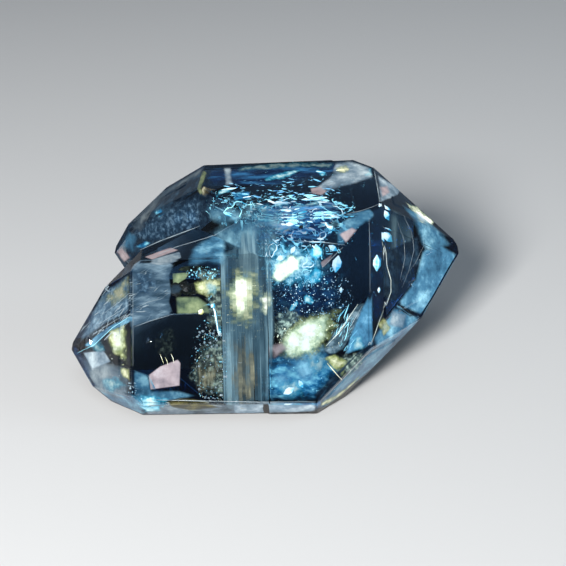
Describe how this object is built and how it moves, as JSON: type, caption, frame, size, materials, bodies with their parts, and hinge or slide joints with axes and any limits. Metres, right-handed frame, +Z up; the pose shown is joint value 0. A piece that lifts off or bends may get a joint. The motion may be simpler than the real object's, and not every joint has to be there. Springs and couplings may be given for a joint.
{
  "type": "petroleum quartz crystal group",
  "caption": "Clear blue-tinted quartz crystals grown together side by side, double-ended, with flat prism and end faces, for oil-inclusion specimens.",
  "frame": {"origin": "centre of the bounding box's footprint, on the surface the crystals rest on", "axes": "+X along the crystals' long axis towards the single right-hand tip, -Y towards the viewer, +Z up"},
  "size_m": [0.0198, 0.012, 0.0091],
  "materials": {
    "clear_quartz": "clear, glossy, slightly smoky blue natural quartz faces"
  },
  "bodies": {
    "root": {"quartz_crystals": "clear_quartz"}
  },
  "joints": []
}
